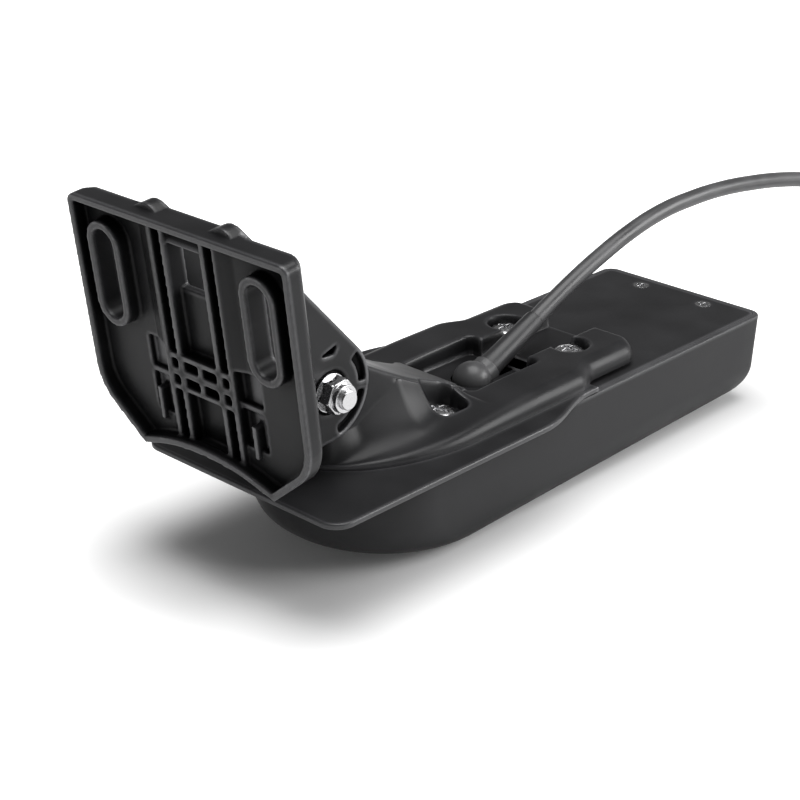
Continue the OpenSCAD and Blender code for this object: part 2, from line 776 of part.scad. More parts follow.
module connector_body() {
    color(black) on_plug() difference() {
        rod(plug_r, plug_len);
        translate([0, 0, plug_len - 12]) rod(plug_r - 1.4, 13);
    }
}

module connector_ring() {
    color([0.14, 0.14, 0.15]) on_plug() translate([0, 0, plug_len - 18]) difference() {
        rod(plug_ring_r, 19);
        translate([0, 0, -1]) rod(plug_r + fit_clear, 22);
        for (i = [0 : 17]) rotate(i * 20) translate([plug_ring_r, 0, 2]) rod(0.5, 15, $fn = 16);
    }
}

// Insert with a hole for each contact
module connector_insert() {
    color([0.20, 0.20, 0.21]) on_plug() translate([0, 0, plug_len - 12]) difference() {
        rod(plug_r - 1.4 - fit_clear, 11);
        for (i = [0 : 7]) rotate(i * 45) translate([plug_r * 0.5, 0, 5]) rod(0.6, 8, $fn = 16);
        translate([0, 0, 5]) rod(0.6, 8, $fn = 16);
    }
}

// The bracket's upright frame at the pivot, leaned to its place
module at_pivot() {
    translate([pivot_x, 0, pivot_z]) rotate([0, -lean, 0]) children();
}

// Outline of the back plate in Y and Z, with its sides moved in by inset
function plate_points(inset) =
    let (hw = plate_w / 2 - inset)
    let (half_arch = asin(foot_y / arch_r))
    let (side = concat(
        arc(hw - 3, plate_top - 3, 3, 90, 0, 4),
        arc(hw - knee_r, knee_z, knee_r, 0, -45, 6),
        [[foot_y + 0.4 - inset / 2, plate_low]]))
    let (a = half_arch * 0.86)
    let (arch = arc(0, plate_low + arch_rise - arch_r, arch_r, 90 - a, 90 + a, 16))
    concat(side, arch, mirrored_y(side));

module plate_outline() {
    polygon(plate_points(0));
}

// Ring of the plate's outline at depth d
function plate_ring(inset, d) = [for (p = plate_points(inset)) [face_x + d, p[0], p[1]]];

// The plate's outer form, whose back slopes to thin side edges
module plate_form() {
    loft([plate_ring(slope_w, plate_d), plate_ring(0, side_d), plate_ring(0, 0)]);
}

function mirrored_y(points) = [for (i = [len(points) - 1 : -1 : 0]) [-points[i][0], points[i][1]]];

// Oblong in Y and Z around a mounting slot
module oblong(y, w, len) {
    hull() for (s = [-1, 1]) translate([y, slot_z + s * (len - w) / 2]) circle(w / 2, $fn = 32);
}

module band(y0, y1, z0, z1) {
    translate([y0, z0]) square([y1 - y0, z1 - z0]);
}

// Tray of the back plate with its rim, slot bosses and side panels
module plate_tray() {
    difference() {
        plate_form();
        along_x(face_x - 1, face_x + panel_in) difference() {
            offset(delta = -rim_t) plate_outline();
            band(-plate_w, plate_w, spine_z1, plate_top);
        }
        along_x(face_x + panel_in - 1, face_x + plate_d + 1) band(-spine_hw, spine_hw, spine_z0, spine_z1);
        for (s = [-1, 1]) for (z = recess_z) along_x(face_x + panel_in - 1, face_x + plate_d - 1)
            band(s * recess_mid - recess_w / 2, s * recess_mid + recess_w / 2, z[0], z[1]);
    }
    for (s = [-1, 1]) along_x(face_x, face_x + plate_d) oblong(s * slot_y, boss_w, boss_len);
}

// Spine of the plate: ribs, panel, waffle block and the sloped lip over the window
module plate_spine() {
    along_x(face_x + spine_in, front_x) band(-spine_hw, spine_hw, spine_z0, plate_top);
    for (s = [-1, 1]) {
        outer = s * (spine_hw - rib_t / 2);
        along_x(face_x + rib_in, front_x)
            band(outer - rib_t / 2, outer + rib_t / 2, spine_z0 - 1, spine_z1 + 1);
        along_x(face_x + rib_in, front_x)
            band(s * inner_rib_y - rib_t / 2, s * inner_rib_y + rib_t / 2, spine_z0 - 1, spine_z1 + 1);
        along_y(s > 0 ? 19.5 : -21, s > 0 ? 21 : -19.5)
            translate([face_x + rib_in, -6]) square([plate_d - rib_in, 11]);
    }
    along_x(face_x + rib_in, front_x) band(-spine_hw, spine_hw, waffle_z0, waffle_z1);
    along_y(-inner_rib_y, inner_rib_y) polygon([
        [face_x + spine_in, plate_top - 1], [face_x + rib_in + 0.6, window_z1],
        [front_x, window_z1], [front_x, plate_top - 1]]);
}

// Soft bump on the top edge over each cheek
module plate_bumps() {
    mid = (cheek_in + cheek_out) / 2;
    for (s = [-1, 1]) along_x(face_x + plate_d - 3, front_x) polygon([for (i = [-8 : 8])
        [s * mid + bump_w / 2 * i / 8, plate_top - 1 + (bump_h + 1) * ease(1 - abs(i) / 8)]]);
}

// Slope from each outer rib down to the side panel
module plate_slopes() {
    for (s = [-1, 1]) translate([0, 0, knee_z + 14]) linear_extrude(plate_top - 1 - knee_z - 14) polygon([
        [face_x + rib_in, s * (spine_hw - 0.5)], [face_x + panel_in + 0.5, s * (spine_hw + 6)],
        [face_x + panel_in + 0.5, s * (spine_hw - 0.5)]]);
}

// Point where a line from p touches a circle of radius r around the origin
function touch(p, r) = let (a = atan2(p[1], p[0]) - acos(r / norm(p))) [r * cos(a), r * sin(a)];

module cheek_outline() {
    top = [front_x + 1, plate_top];
    circle(cheek_r, $fn = 96);
    polygon([
        [front_x - 2, plate_top], top, touch(top, cheek_r), [0, 0], [0, -cheek_r],
        [front_x - 2, -cheek_r + 1]]);
}

// Hollows in a cheek's outer face around the pivot
module cheek_hollows() {
    r_in = cheek_r - 4.3;
    r_out = cheek_r - 1.3;
    for (a = [[-84, -20], [-8, 34]])
        polygon(concat(arc(0, 0, r_out, a[0], a[1], 8), arc(0, 0, r_in, a[1], a[0], 8)));
    polygon([[-3, r_in + 0.6], [3, r_in - 0.4], [5.2, r_in + 2.2]]);
}

module bracket() {
    color(black) at_pivot() difference() {
        union() {
            plate_tray();
            plate_spine();
            plate_slopes();
            plate_bumps();
            along_y(cheek_in, cheek_out) cheek_outline();
            along_y(-cheek_out, -cheek_in) cheek_outline();
        }
        for (s = [-1, 1])
            along_x(face_x - 1, front_x + 1)
                oblong(s * slot_y, boss_w - 2 * boss_wall, boss_len - 2 * boss_wall);
        along_x(face_x - 1, front_x + 1)
            band(-inner_rib_y + rib_t / 2, inner_rib_y - rib_t / 2, window_z0, window_z1);
        for (z = [waffle_z0 + 1.8, waffle_z0 + 7.2]) for (y = [-12.3, -7, 0.9, 9.4])
            along_x(face_x, face_x + spine_in - 0.6) band(y, y + (abs(y + 1.45) > 9 ? 2.9 : 6.1), z, z + 3);
        for (s = [-1, 1]) {
            along_y(s > 0 ? cheek_out - core_d : -cheek_out - 1, s > 0 ? cheek_out + 1 : -cheek_out + core_d)
                cheek_hollows();
            along_y(s > 0 ? seat_y : -cheek_out - 1, s > 0 ? cheek_out + 1 : -seat_y) circle(washer_r + 0.8);
        }
        along_y(-cheek_out - 1, cheek_out + 1) circle(bolt_r + 0.1);
    }
}

module pivot_bolt() {
    head_y = seat_y + washer_t;
    shank = 2 * head_y + nut_h + collar_h + 1.5;
    color(steel) at_pivot() translate([0, head_y, 0]) rotate([90, 0, 0]) {
        translate([0, 0, -bolt_head_h]) hexagon(hex_w, bolt_head_h);
        translate([0, 0, -1]) rod(bolt_r, shank + 1);
    }
}

module pivot_washers() {
    color(steel) at_pivot() for (y = [seat_y, -seat_y - washer_t])
        translate([0, y + washer_t, 0]) rotate([90, 0, 0]) tube(washer_r, bolt_r + 0.1, washer_t);
}

module pivot_bush() {
    color(brass) translate([pivot_x, neck_w / 2, pivot_z]) rotate([90, 0, 0])
        tube(bush_r, bolt_r + run_clear, neck_w);
}

module on_nut() {
    at_pivot() translate([0, -seat_y - washer_t, 0]) rotate([90, 0, 0]) children();
}

module lock_nut() {
    color(steel) on_nut() difference() {
        union() {
            intersection() {
                hexagon(hex_w, nut_h);
                cylinder(r1 = hex_w * 0.75, r2 = hex_w * 0.53, h = nut_h);
            }
            cylinder(r1 = hex_w * 0.47, r2 = hex_w * 0.43, h = nut_h + collar_h);
        }
        translate([0, 0, -1]) rod(bolt_r + fit_clear, nut_h + collar_h + 2);
        translate([0, 0, nut_h]) rod(bolt_r + 0.8, collar_h - 0.4);
    }
}

module nut_insert() {
    color(nylon) on_nut() translate([0, 0, nut_h])
        tube(bolt_r + 0.8 - fit_clear, bolt_r + fit_clear, collar_h - 0.4);
}

tub();
deck_lid();
lid_gasket();
deck_screws();
element_carrier();
down_element();
side_elements();
round_element();
backing_pads();
circuit_board();
board_components();
temperature_sensor();
saddle();
saddle_screws();
saddle_inserts();
cable_gland();
gland_seal();
gland_nut();
strain_boot();
cable();
cable_coil();
coil_ties();
cable_tail();
connector_boot();
connector_body();
connector_ring();
connector_insert();
bracket();
pivot_bolt();
pivot_washers();
pivot_bush();
lock_nut();
nut_insert();
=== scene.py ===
import json
import math

import bmesh
import bpy
import numpy as np
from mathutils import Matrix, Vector


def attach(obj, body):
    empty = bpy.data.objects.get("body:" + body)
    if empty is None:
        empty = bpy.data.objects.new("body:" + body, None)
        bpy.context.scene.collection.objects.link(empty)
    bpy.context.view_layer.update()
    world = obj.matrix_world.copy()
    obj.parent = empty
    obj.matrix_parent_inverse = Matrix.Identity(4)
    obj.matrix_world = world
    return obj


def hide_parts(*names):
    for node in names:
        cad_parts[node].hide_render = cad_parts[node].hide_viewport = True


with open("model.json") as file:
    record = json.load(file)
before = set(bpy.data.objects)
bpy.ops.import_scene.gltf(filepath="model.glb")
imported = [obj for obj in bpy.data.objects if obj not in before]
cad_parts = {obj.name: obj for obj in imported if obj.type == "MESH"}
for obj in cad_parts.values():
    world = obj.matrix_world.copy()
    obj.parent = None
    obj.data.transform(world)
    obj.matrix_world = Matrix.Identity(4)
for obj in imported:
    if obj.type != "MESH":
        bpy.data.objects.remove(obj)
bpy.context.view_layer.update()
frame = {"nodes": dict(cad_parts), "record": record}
nodes = frame["nodes"]
record = frame["record"]
scene = bpy.context.scene
MM = .001
IMAGE_PX = 800
# Sky: white up to one height, dim from another on, and how bright it is there
SKY_WHITE, SKY_DIM, SKY_LEVEL = .02, .19, .12
# Floor: its size, its gap below the object, its shade, its glow near and far, and its glow in reflections
FLOOR_SIZE, FLOOR_GAP, FLOOR_SHADE = 8, .0002, .86
FLOOR_NEAR, FLOOR_FAR, FLOOR_SHINE = .03, 1.0, .12
# Middle and half size of what stands on the floor, and how far its shade reaches
PRINTS = [
    ((.004, 0), (.102, .034), .074),  # tub
    ((.325, -.015), (.036, .036), .045),  # coil
    ((.280, -.0616), (.024, .008), .03)]  # connector
# Lamps: name, place, size and power
LAMPS = [
    ("overhead", (.1, -.1, 1.2), (1.0, 1.0), 12.5),
    ("side_key", (1.05, -1.05, .66), (1.1, .8), 20)]
BODY_OF = {n: body for body, names in record["behaviour"]["bodies"].items() for n in names}
SLOT_OF = {s["node"]: s["material_slot"] for s in record["subparts"]}

# Camera at the photo's angle
LENS, SENSOR_W = 86.2, 36.0
CAMERA_AT = (-.4427, -.3807, .2900)
CAMERA_AIM = (-.0331, .0079, .0330)
CLIP_NEAR, CLIP_FAR = .01, 20.0
cam_data = bpy.data.cameras.new("camera")
cam_data.lens = LENS
cam_data.sensor_width = SENSOR_W
cam_data.clip_start = CLIP_NEAR
cam_data.clip_end = CLIP_FAR
cam = bpy.data.objects.new("camera", cam_data)
scene.collection.objects.link(cam)
cam.location = CAMERA_AT
cam.rotation_mode = "QUATERNION"
cam.rotation_quaternion = (Vector(CAMERA_AIM) - cam.location).to_track_quat("-Z", "Y")
scene.camera = cam

# Cable: the source's route from the gland, the wound turns, and the end that goes into the connector
ROUTE = [
    (.001, 0, .036), (.017, 0, .043), (.033, 0, .050), (.047, 0, .0556), (.060, 0, .060), (.076, 0, .0644),
    (.094, 0, .0674), (.112, 0, .068), (.131, 0, .0672), (.151, 0, .0648), (.171, 0, .0614), (.190, 0, .057),
    (.212, .002, .050), (.232, .007, .0415), (.250, .013, .0315), (.266, .019, .0215), (.281, .0238, .013),
    (.294, .0274, .0074), (.306, .0299, .0049), (.316, .0312, .0042)]
TAIL = [
    (.312, -.0616, .0099), (.298, -.0616, .010), (.286, -.0616, .010), (.276, -.0616, .010),
    (.266, -.0616, .010)]
COIL_AT = (.325, -.015)
COIL_R = .0466
COIL_Z = .0041
CABLE_D = .0058
PER_TURN = 24
CROSS_FROM = .7  # share of a turn after which the cable crosses to its next cell
# Cell of the bundle, as row up and column in, that each turn lies in
CELLS = [
    (0, 0), (0, 1), (0, 2), (0, 3), (0, 4), (1, 4), (2, 4), (3, 4), (4, 4), (4, 3), (3, 3), (2, 3), (1, 3),
    (1, 2), (2, 2), (3, 2), (4, 2), (4, 1), (4, 0), (3, 0), (3, 1), (2, 1), (1, 1), (2, 0), (1, 0)]


def coil_points():
    """Turns of the wound cable, clockwise from above, each in its own cell of the bundle."""
    points = []
    steps = PER_TURN * (len(CELLS) - 1) + PER_TURN // 2
    for k in range(steps + 1):
        turn, part = divmod(k, PER_TURN)
        a, b = CELLS[turn], CELLS[min(turn + 1, len(CELLS) - 1)]
        t = max(0, (part / PER_TURN - CROSS_FROM) / (1 - CROSS_FROM))
        t = t * t * (3 - 2 * t)
        row = a[0] + (b[0] - a[0]) * t
        r = COIL_R - CABLE_D * (a[1] + (b[1] - a[1]) * t)
        angle = math.radians(90) - 2 * math.pi * k / PER_TURN
        x, y = COIL_AT[0] + r * math.cos(angle), COIL_AT[1] + r * math.sin(angle)
        points.append((x, y, COIL_Z + CABLE_D * row))
    return points


def tube_curve(name, points, radius):
    """Tube along points; its radius is on the points, so that the curve's own box is true."""
    data = bpy.data.curves.new(name, "CURVE")
    data.dimensions = "3D"
    data.bevel_depth = 1
    data.bevel_resolution = 5
    data.resolution_u = 4
    data.use_fill_caps = True
    spline = data.splines.new("BEZIER")
    spline.bezier_points.add(len(points) - 1)
    for p, co in zip(spline.bezier_points, points):
        p.co = co
        p.radius = radius
        p.handle_left_type = p.handle_right_type = "AUTO"
    obj = bpy.data.objects.new(name, data)
    scene.collection.objects.link(obj)
    return obj


cable = tube_curve("cable_line", ROUTE + coil_points() + TAIL, CABLE_D / 2)
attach(cable, "transducer")
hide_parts("cable", "cable_coil", "cable_tail")


# Materials
AO_SAMPLES = 6
SHADE_REACH, SHADE_OPEN = .014, .9  # how far the painted shade in recesses reaches, and the openness from which a face gets none
HIGHLIGHT_REACH, HIGHLIGHT_FULL, HIGHLIGHT_NONE = .0016, .6, .95  # the same for the painted highlight near outer edges and on thin ribs
PLASTIC_GRAIN, GRAIN_DEPTH, PLASTIC_SPECULAR = 3200, .000012, .22


def node_math(tree, operation, *values):
    """A Math node on numbers and sockets."""
    node = tree.nodes.new("ShaderNodeMath")
    node.operation = operation
    for socket, value in zip(node.inputs, values):
        if isinstance(value, (int, float)):
            socket.default_value = value
        else:
            tree.links.new(value, socket)
    return node.outputs["Value"]


def shades(shade, *factors):
    return [[c * factor for c in shade] for factor in factors]


class Shader:
    """A material's node tree with short ways to add nodes."""

    def __init__(self, name):
        self.mat = bpy.data.materials.new(name)
        self.mat.use_nodes = True
        self.tree = self.mat.node_tree
        self.bsdf = self.tree.nodes["Principled BSDF"]
        self.coords = self.tree.nodes.new("ShaderNodeTexCoord").outputs["Object"]

    def join(self, out, into):
        self.tree.links.new(out, into)

    def stretched(self, scale):
        node = self.tree.nodes.new("ShaderNodeMapping")
        node.inputs["Scale"].default_value = scale
        self.join(self.coords, node.inputs["Vector"])
        return node.outputs["Vector"]

    def noise(self, scale, detail=3, coords=None):
        node = self.tree.nodes.new("ShaderNodeTexNoise")
        node.inputs["Scale"].default_value = scale
        node.inputs["Detail"].default_value = detail
        self.join(coords or self.coords, node.inputs["Vector"])
        return node.outputs["Fac"]

    def ramp(self, value, start, end, low, high):
        node = self.tree.nodes.new("ShaderNodeMapRange")
        for socket, number in zip(("From Min", "From Max", "To Min", "To Max"), (start, end, low, high)):
            node.inputs[socket].default_value = number
        self.join(value, node.inputs["Value"])
        return node.outputs["Result"]

    def spread(self, value, low, high):
        """A noise, which is mostly between .3 and .7, spread over low to high."""
        return self.ramp(value, .3, .7, low, high)

    def blend(self, value, low, high):
        node = self.tree.nodes.new("ShaderNodeMix")
        node.data_type = "RGBA"
        node.inputs["A"].default_value = (*low, 1)
        node.inputs["B"].default_value = (*high, 1)
        self.join(value, node.inputs["Factor"])
        return node.outputs["Result"]

    def colour(self, value, low, high):
        self.join(self.blend(self.spread(value, 0, 1), low, high), self.bsdf.inputs["Base Color"])

    def rough(self, value, low, high):
        self.join(self.spread(value, low, high), self.bsdf.inputs["Roughness"])

    def bump(self, height, depth):
        node = self.tree.nodes.new("ShaderNodeBump")
        node.inputs["Distance"].default_value = depth
        node.inputs["Strength"].default_value = 1
        self.join(height, node.inputs["Height"])
        self.join(node.outputs["Normal"], self.bsdf.inputs["Normal"])

    def cavity(self, reach, inside=False):
        """About 1 on open faces and less in recesses, or, inside, less near outer edges and on thin ribs."""
        node = self.tree.nodes.new("ShaderNodeAmbientOcclusion")
        node.samples = AO_SAMPLES
        node.inside = node.only_local = inside
        node.inputs["Distance"].default_value = reach
        return node.outputs["AO"]

    def set(self, **values):
        for name, value in values.items():
            self.bsdf.inputs[name.replace("_", " ")].default_value = value


def plastic(name, shade, rough, recess_darkening=(.3, .4), highlight_gain=3.4):
    """Moulded plastic with fine grain and uneven gloss.

    It has painted shade, a darker colour and weaker gloss in its recesses, down to the second number of the
    recess pair where the openness is its first number, and a painted highlight that makes its outer edges
    and thin ribs brighter and glossier, by the last factor.
    """
    s = Shader(name)
    patches = s.noise(70, 1)
    # Painted shade: colour and gloss darkened in recesses by ambient occlusion
    painted_shade = s.ramp(s.cavity(SHADE_REACH), recess_darkening[0], SHADE_OPEN, recess_darkening[1], 1)
    # Painted highlight: colour and gloss brightened near outer edges and on thin ribs
    painted_highlight = s.ramp(s.cavity(HIGHLIGHT_REACH, inside=True), HIGHLIGHT_FULL, HIGHLIGHT_NONE, highlight_gain, 1)
    tint = s.tree.nodes.new("ShaderNodeVectorMath")
    tint.operation = "SCALE"
    s.join(s.blend(s.spread(patches, 0, 1), *shades(shade, .85, 1.2)), tint.inputs[0])
    # Painted shade and painted highlight together scale the colour and the specular level
    level = node_math(s.tree, "MULTIPLY", painted_shade, painted_highlight)
    s.join(level, tint.inputs["Scale"])
    s.join(tint.outputs["Vector"], s.bsdf.inputs["Base Color"])
    s.join(node_math(s.tree, "MULTIPLY", level, PLASTIC_SPECULAR), s.bsdf.inputs["Specular IOR Level"])
    s.rough(patches, rough - .05, rough + .06)
    s.bump(s.noise(PLASTIC_GRAIN, 0), GRAIN_DEPTH)
    return s.mat


def rubber(name, shade, rough):
    """Soft jacket or seal with a fine matt grain."""
    s = Shader(name)
    s.set(Specular_IOR_Level=.5)
    patches = s.noise(90, 1)
    s.colour(patches, *shades(shade, .8, 1.25))
    s.rough(patches, rough - .06, rough + .06)
    s.bump(s.noise(2200, 1), .00002)
    return s.mat


def metal(name, shade, rough, along):
    """Bright metal with fine lines drawn out along one axis."""
    s = Shader(name)
    s.set(Metallic=1)
    lines = s.noise(900, 2, s.stretched(along))
    s.colour(lines, *shades(shade, .88, 1))
    s.rough(lines, rough - .08, rough + .1)
    s.bump(lines, .000006)
    return s.mat


def ceramic(name, shade):
    """Fired ceramic with fine specks."""
    s = Shader(name)
    specks = s.noise(900, 3)
    s.colour(specks, *shades(shade, .9, 1))
    s.rough(specks, .35, .55)
    s.bump(specks, .00003)
    return s.mat


def laminate(name, shade):
    """Circuit board: glass weave under a coloured lacquer."""
    s = Shader(name)
    wave = s.tree.nodes.new("ShaderNodeTexWave")
    wave.inputs["Scale"].default_value = 900
    s.join(s.coords, wave.inputs["Vector"])
    s.join(s.blend(wave.outputs["Fac"], *shades(shade, .8, 1)), s.bsdf.inputs["Base Color"])
    s.rough(wave.outputs["Fac"], .2, .35)
    s.bump(wave.outputs["Fac"], .00001)
    return s.mat


def cork(name, shade):
    """Cork and rubber in small cells."""
    s = Shader(name)
    cells = s.tree.nodes.new("ShaderNodeTexVoronoi")
    cells.inputs["Scale"].default_value = 900
    s.join(s.coords, cells.inputs["Vector"])
    s.join(s.blend(cells.outputs["Distance"], *shades(shade, 1, .45)), s.bsdf.inputs["Base Color"])
    s.rough(cells.outputs["Distance"], .75, .95)
    s.bump(cells.outputs["Distance"], .0001)
    return s.mat


FINISH = {
    "tub": plastic("tub_plastic", (.021, .021, .0222), .46),
    "saddle": plastic("saddle_plastic", (.019, .019, .0202), .34),
    # The bracket gets deeper painted shade in its recesses and a stronger painted highlight on its edges
    "bracket": plastic("bracket_plastic", (.0195, .0195, .0207), .34, recess_darkening=(.42, .12), highlight_gain=5.2),
    "carrier": plastic("carrier_plastic", (.05, .05, .055), .5),
    "connector": plastic("connector_plastic", (.018, .018, .02), .4),
    "nylon": plastic("natural_nylon", (.55, .57, .6), .4),
    "seal": rubber("seal_rubber", (.012, .012, .012), .6),
    "boot": rubber("boot_rubber", (.032, .032, .0335), .4),
    "cable": rubber("cable_jacket", (.07, .07, .072), .36),
    "coil": rubber("coil_jacket", (.07, .07, .072), .36),
    "tie": rubber("tie_band", (.03, .03, .032), .6),
    "pad": cork("cork_pad", (.3, .2, .12)),
    "element": ceramic("fired_ceramic", (.65, .6, .5)),
    "board": laminate("board_laminate", (.03, .14, .06)),
    "steel": metal("stainless", (.74, .74, .75), .2, (1, 1, 6)),
    "brass": metal("turned_brass", (.7, .52, .22), .25, (1, 6, 1)),
}


WELD, FLAT_DEG = 2e-6, .05  # gap that is closed, and the angle up to which facets are joined
BEVEL_DEG, BEVEL_SEGMENTS = 32, 3
TUB_DEG, SADDLE_DEG = 40, 50  # angles above which an edge stays sharp


def new_piece(name, mesh, node):
    """A piece that stands for a node: same body, same slot, the slot's finish."""
    obj = bpy.data.objects.new(name, mesh)
    scene.collection.objects.link(obj)
    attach(obj, BODY_OF[node])
    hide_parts(node)
    mesh.materials.clear()
    mesh.materials.append(FINISH[SLOT_OF[node]])
    return obj


def smooth_by_angle(mesh, degrees):
    for p in mesh.polygons:
        p.use_smooth = True
    mesh.set_sharp_from_angle(angle=math.radians(degrees))


def plain_mesh(node):
    """A node's own shape with flat facets joined."""
    mesh = nodes[node].data.copy()
    mesh.name = node + "_shape"
    bm = bmesh.new()
    bm.from_mesh(mesh)
    bmesh.ops.remove_doubles(bm, verts=bm.verts, dist=WELD)
    bmesh.ops.dissolve_limit(bm, angle_limit=math.radians(FLAT_DEG), verts=bm.verts, edges=bm.edges)
    bm.to_mesh(mesh)
    bm.free()
    return mesh


def rounded(node, width):
    """A node's own shape with its edges broken and its round faces smooth."""
    mesh = plain_mesh(node)
    smooth_by_angle(mesh, BEVEL_DEG)
    obj = new_piece(node + "_piece", mesh, node)
    bevel = obj.modifiers.new("edges", "BEVEL")
    bevel.width = width * MM
    bevel.segments = BEVEL_SEGMENTS
    bevel.limit_method = "ANGLE"
    bevel.angle_limit = math.radians(BEVEL_DEG)
    bevel.use_clamp_overlap = False
    bevel.loop_slide = False
    bevel.harden_normals = True
    return obj


def moulded(node, cell, passes, share):
    """A node's own shape skinned anew in cells, smoothed, and thinned to a share of its faces."""
    mesh = plain_mesh(node)
    obj = new_piece(node + "_piece", mesh, node)
    skin = obj.modifiers.new("skin", "REMESH")
    skin.mode = "VOXEL"
    skin.voxel_size = cell * MM
    skin.use_smooth_shade = True
    soften = obj.modifiers.new("soften", "SMOOTH")
    soften.factor = .5
    soften.iterations = passes
    thin = obj.modifiers.new("thin", "DECIMATE")
    thin.ratio = share


# Tub, as in the part's source but with smooth rings
TUB_W, TUB_H, TUB_AFT, TUB_FORE = 70, 33, 112, 94
NOSE_LEN, NOSE_POWER, NOSE_R, STERN_R = 62, 4, 33, 5
EDGE_R, EDGE_FORE_R, TUB_DRAFT, WALL_T = 13.5, 7, .04, 4
RIM_W, LID_T, GASKET_T, TUB_EDGE_R = 2, 2.2, .8, .8


def arc(cx, cy, r, a0, a1, n):
    a = np.radians(np.linspace(a0, a1, n + 1))
    return np.c_[cx + r * np.cos(a), cy + r * np.sin(a)]


def boat(xf, xr, hf, hr, rf, rr):
    """Outline with one half width and radius at the nose and another at the stern."""
    half = np.r_[
        arc(xr - rr, hr - rr, rr, 0, 90, 10),
        np.c_[np.linspace(xr - rr, xf + rf, 26), np.linspace(hr, hf, 26)][1:-1],
        arc(xf + rf, hf - rf, rf, 90, 180, 30)]
    return np.r_[half, half[::-1] * (1, -1)]


def turn_in(d, r, h):
    """How far a side has turned in at depth d, where an edge of radius r ends at depth h."""
    return 0 if d < h - r else r - math.sqrt(max(0, r * r - (d - h + r) ** 2))


def tub_outline(d, skin):
    """The tub's outline at depth d below the deck, or the cavity's, which lies a wall's thickness inside."""
    h = TUB_H - skin
    side = skin + TUB_DRAFT * d
    aft = side + turn_in(d, EDGE_R - skin / 2, h)
    hf = TUB_W / 2 - side - turn_in(d, EDGE_FORE_R - skin / 2, h)
    sweep = NOSE_LEN * (1 - (1 - min(1, d / h) ** NOSE_POWER) ** (1 / NOSE_POWER))
    return boat(
        -TUB_FORE + skin + sweep, TUB_AFT - aft, hf, TUB_W / 2 - aft, min(NOSE_R, hf - 1),
        max(1.5, STERN_R - skin / 2))


def lid_outline(inset):
    hw = TUB_W / 2 - inset
    return boat(-TUB_FORE + inset, TUB_AFT - inset, hw, hw, NOSE_R - inset, STERN_R - RIM_W)


def at_height(outline, z):
    return np.c_[outline, np.full(len(outline), z)]


def ring_mesh(name, rings, closed=True):
    """Skin over a stack of rings with equal counts, with a cap on its first and last ring."""
    n, m = len(rings[0]), len(rings)
    faces = []
    for k in range(m - 1):
        for i in range(n if closed else n - 1):
            a, b = k * n + i, k * n + (i + 1) % n
            faces.append((a, b, b + n, a + n))
    faces.append(tuple(range(n))[::-1])
    faces.append(tuple(range((m - 1) * n, m * n)))
    mesh = bpy.data.meshes.new(name)
    mesh.from_pydata((np.concatenate(rings) * MM).tolist(), [], faces)
    mesh.validate()
    return mesh


def build_tub():
    """The tub's shell, from its underside over the rim and down into its cavity."""
    steps = 1 - np.linspace(0, 1, 60) ** 2.2  # closer together near the underside
    edge = TUB_EDGE_R
    seat_z = TUB_H - LID_T - GASKET_T
    cavity_h = TUB_H - WALL_T
    rings = [at_height(tub_outline(f * (TUB_H - edge) + edge, 0), (1 - f) * (TUB_H - edge)) for f in steps]
    for a in np.radians((20, 45, 70, 90)):
        inset = edge * (1 - math.cos(a))
        rings.append(at_height(boat(
            -TUB_FORE + inset, TUB_AFT - inset, TUB_W / 2 - inset, TUB_W / 2 - inset, NOSE_R - inset,
            STERN_R - inset), TUB_H - edge + edge * math.sin(a)))
    rings.append(at_height(lid_outline(RIM_W), TUB_H))
    rings.append(at_height(lid_outline(RIM_W), seat_z))
    rings.append(at_height(tub_outline(0, WALL_T), seat_z))
    deeper = [f for f in steps[::-1] if f * cavity_h > LID_T + GASKET_T + 1]
    rings += [at_height(tub_outline(f * cavity_h, WALL_T), TUB_H - f * cavity_h) for f in deeper]
    mesh = ring_mesh("tub_shell", rings)
    smooth_by_angle(mesh, TUB_DEG)
    new_piece("tub_shell", mesh, "tub")


build_tub()

# Saddle, as in the part's source but with smooth sections and rounded pockets
FLANGE_W, FLANGE_T, FLANGE_FORE, FLANGE_AFT, FLANGE_R, FLANGE_EDGE_R = 85, 2, 112, 16, 7, .7
BEND_X, BEND_END = -19.5, 12
BLOCK_W, BLOCK_H, BLOCK_AFT, END_R, ARM_W, ARM_R, SHOULDER_R = 67.4, 8, 45, 2, 59, 6, 5.4
FOOT_X, FOOT_FULL_X, NECK_W, HUB_R, HUB_EDGE, BORE_R = -93, -42, 26, 12, .6, 4.53
PIVOT_X, PIVOT_H = -89.4, 28.9
TROUGH_X, STEP_X, TROUGH_W, TROUGH_R, SLOT_W = -24, 9, 30.6, 2.5, 20.4
POCKET_R, POCKET_H = 6.5, 4
REAR_SCREWS = [(26.5, 14), (26.5, -14)]
RIDGE_X0, RIDGE_X1 = PIVOT_X + HUB_R * .6, -17
CREST_X, CREST_R = -29.6, 2.4
# Neck: its ridge over the pivot and how it falls towards the front and the block, and its crown and sides
RIDGE_OVER_PIVOT, RIDGE_FALL, RIDGE_POWER = HUB_R * .75, 7, 1.4
CROWN_R, NECK_FLARE, FLANK_POWER = 1.6, .6, 2.4
# Shoulder: its height at the front, where it starts to fall and over what length
SHOULDER_FORE_H, SHOULDER_X, SHOULDER_LEN, SHOULDER_POWER = 3.6, -10, 75, 1.3
# Flank: its height up to an x, its rise per mm from there, and what stays of the ridge above it
FLANK_H, FLANK_X, FLANK_RISE, FLANK_BELOW = 12, -75, .5, 1.2
# Radii of the edges of the trough and of the pockets, and of their floors' corners
TROUGH_EDGE_R, POCKET_EDGE_R, CUT_FLOOR_R = 1.4, .9, .8
POCKET_IN, POCKET_OUT, POCKET_X0, POCKET_X1 = 10.3, 22, -46.5, -31.5
GLAND_X, GLAND_GAP, BOOT_GAP = -7, 7, 5


def ease(t):
    t = np.clip(t, 0, 1)
    return (1 - np.cos(np.pi * t)) / 2


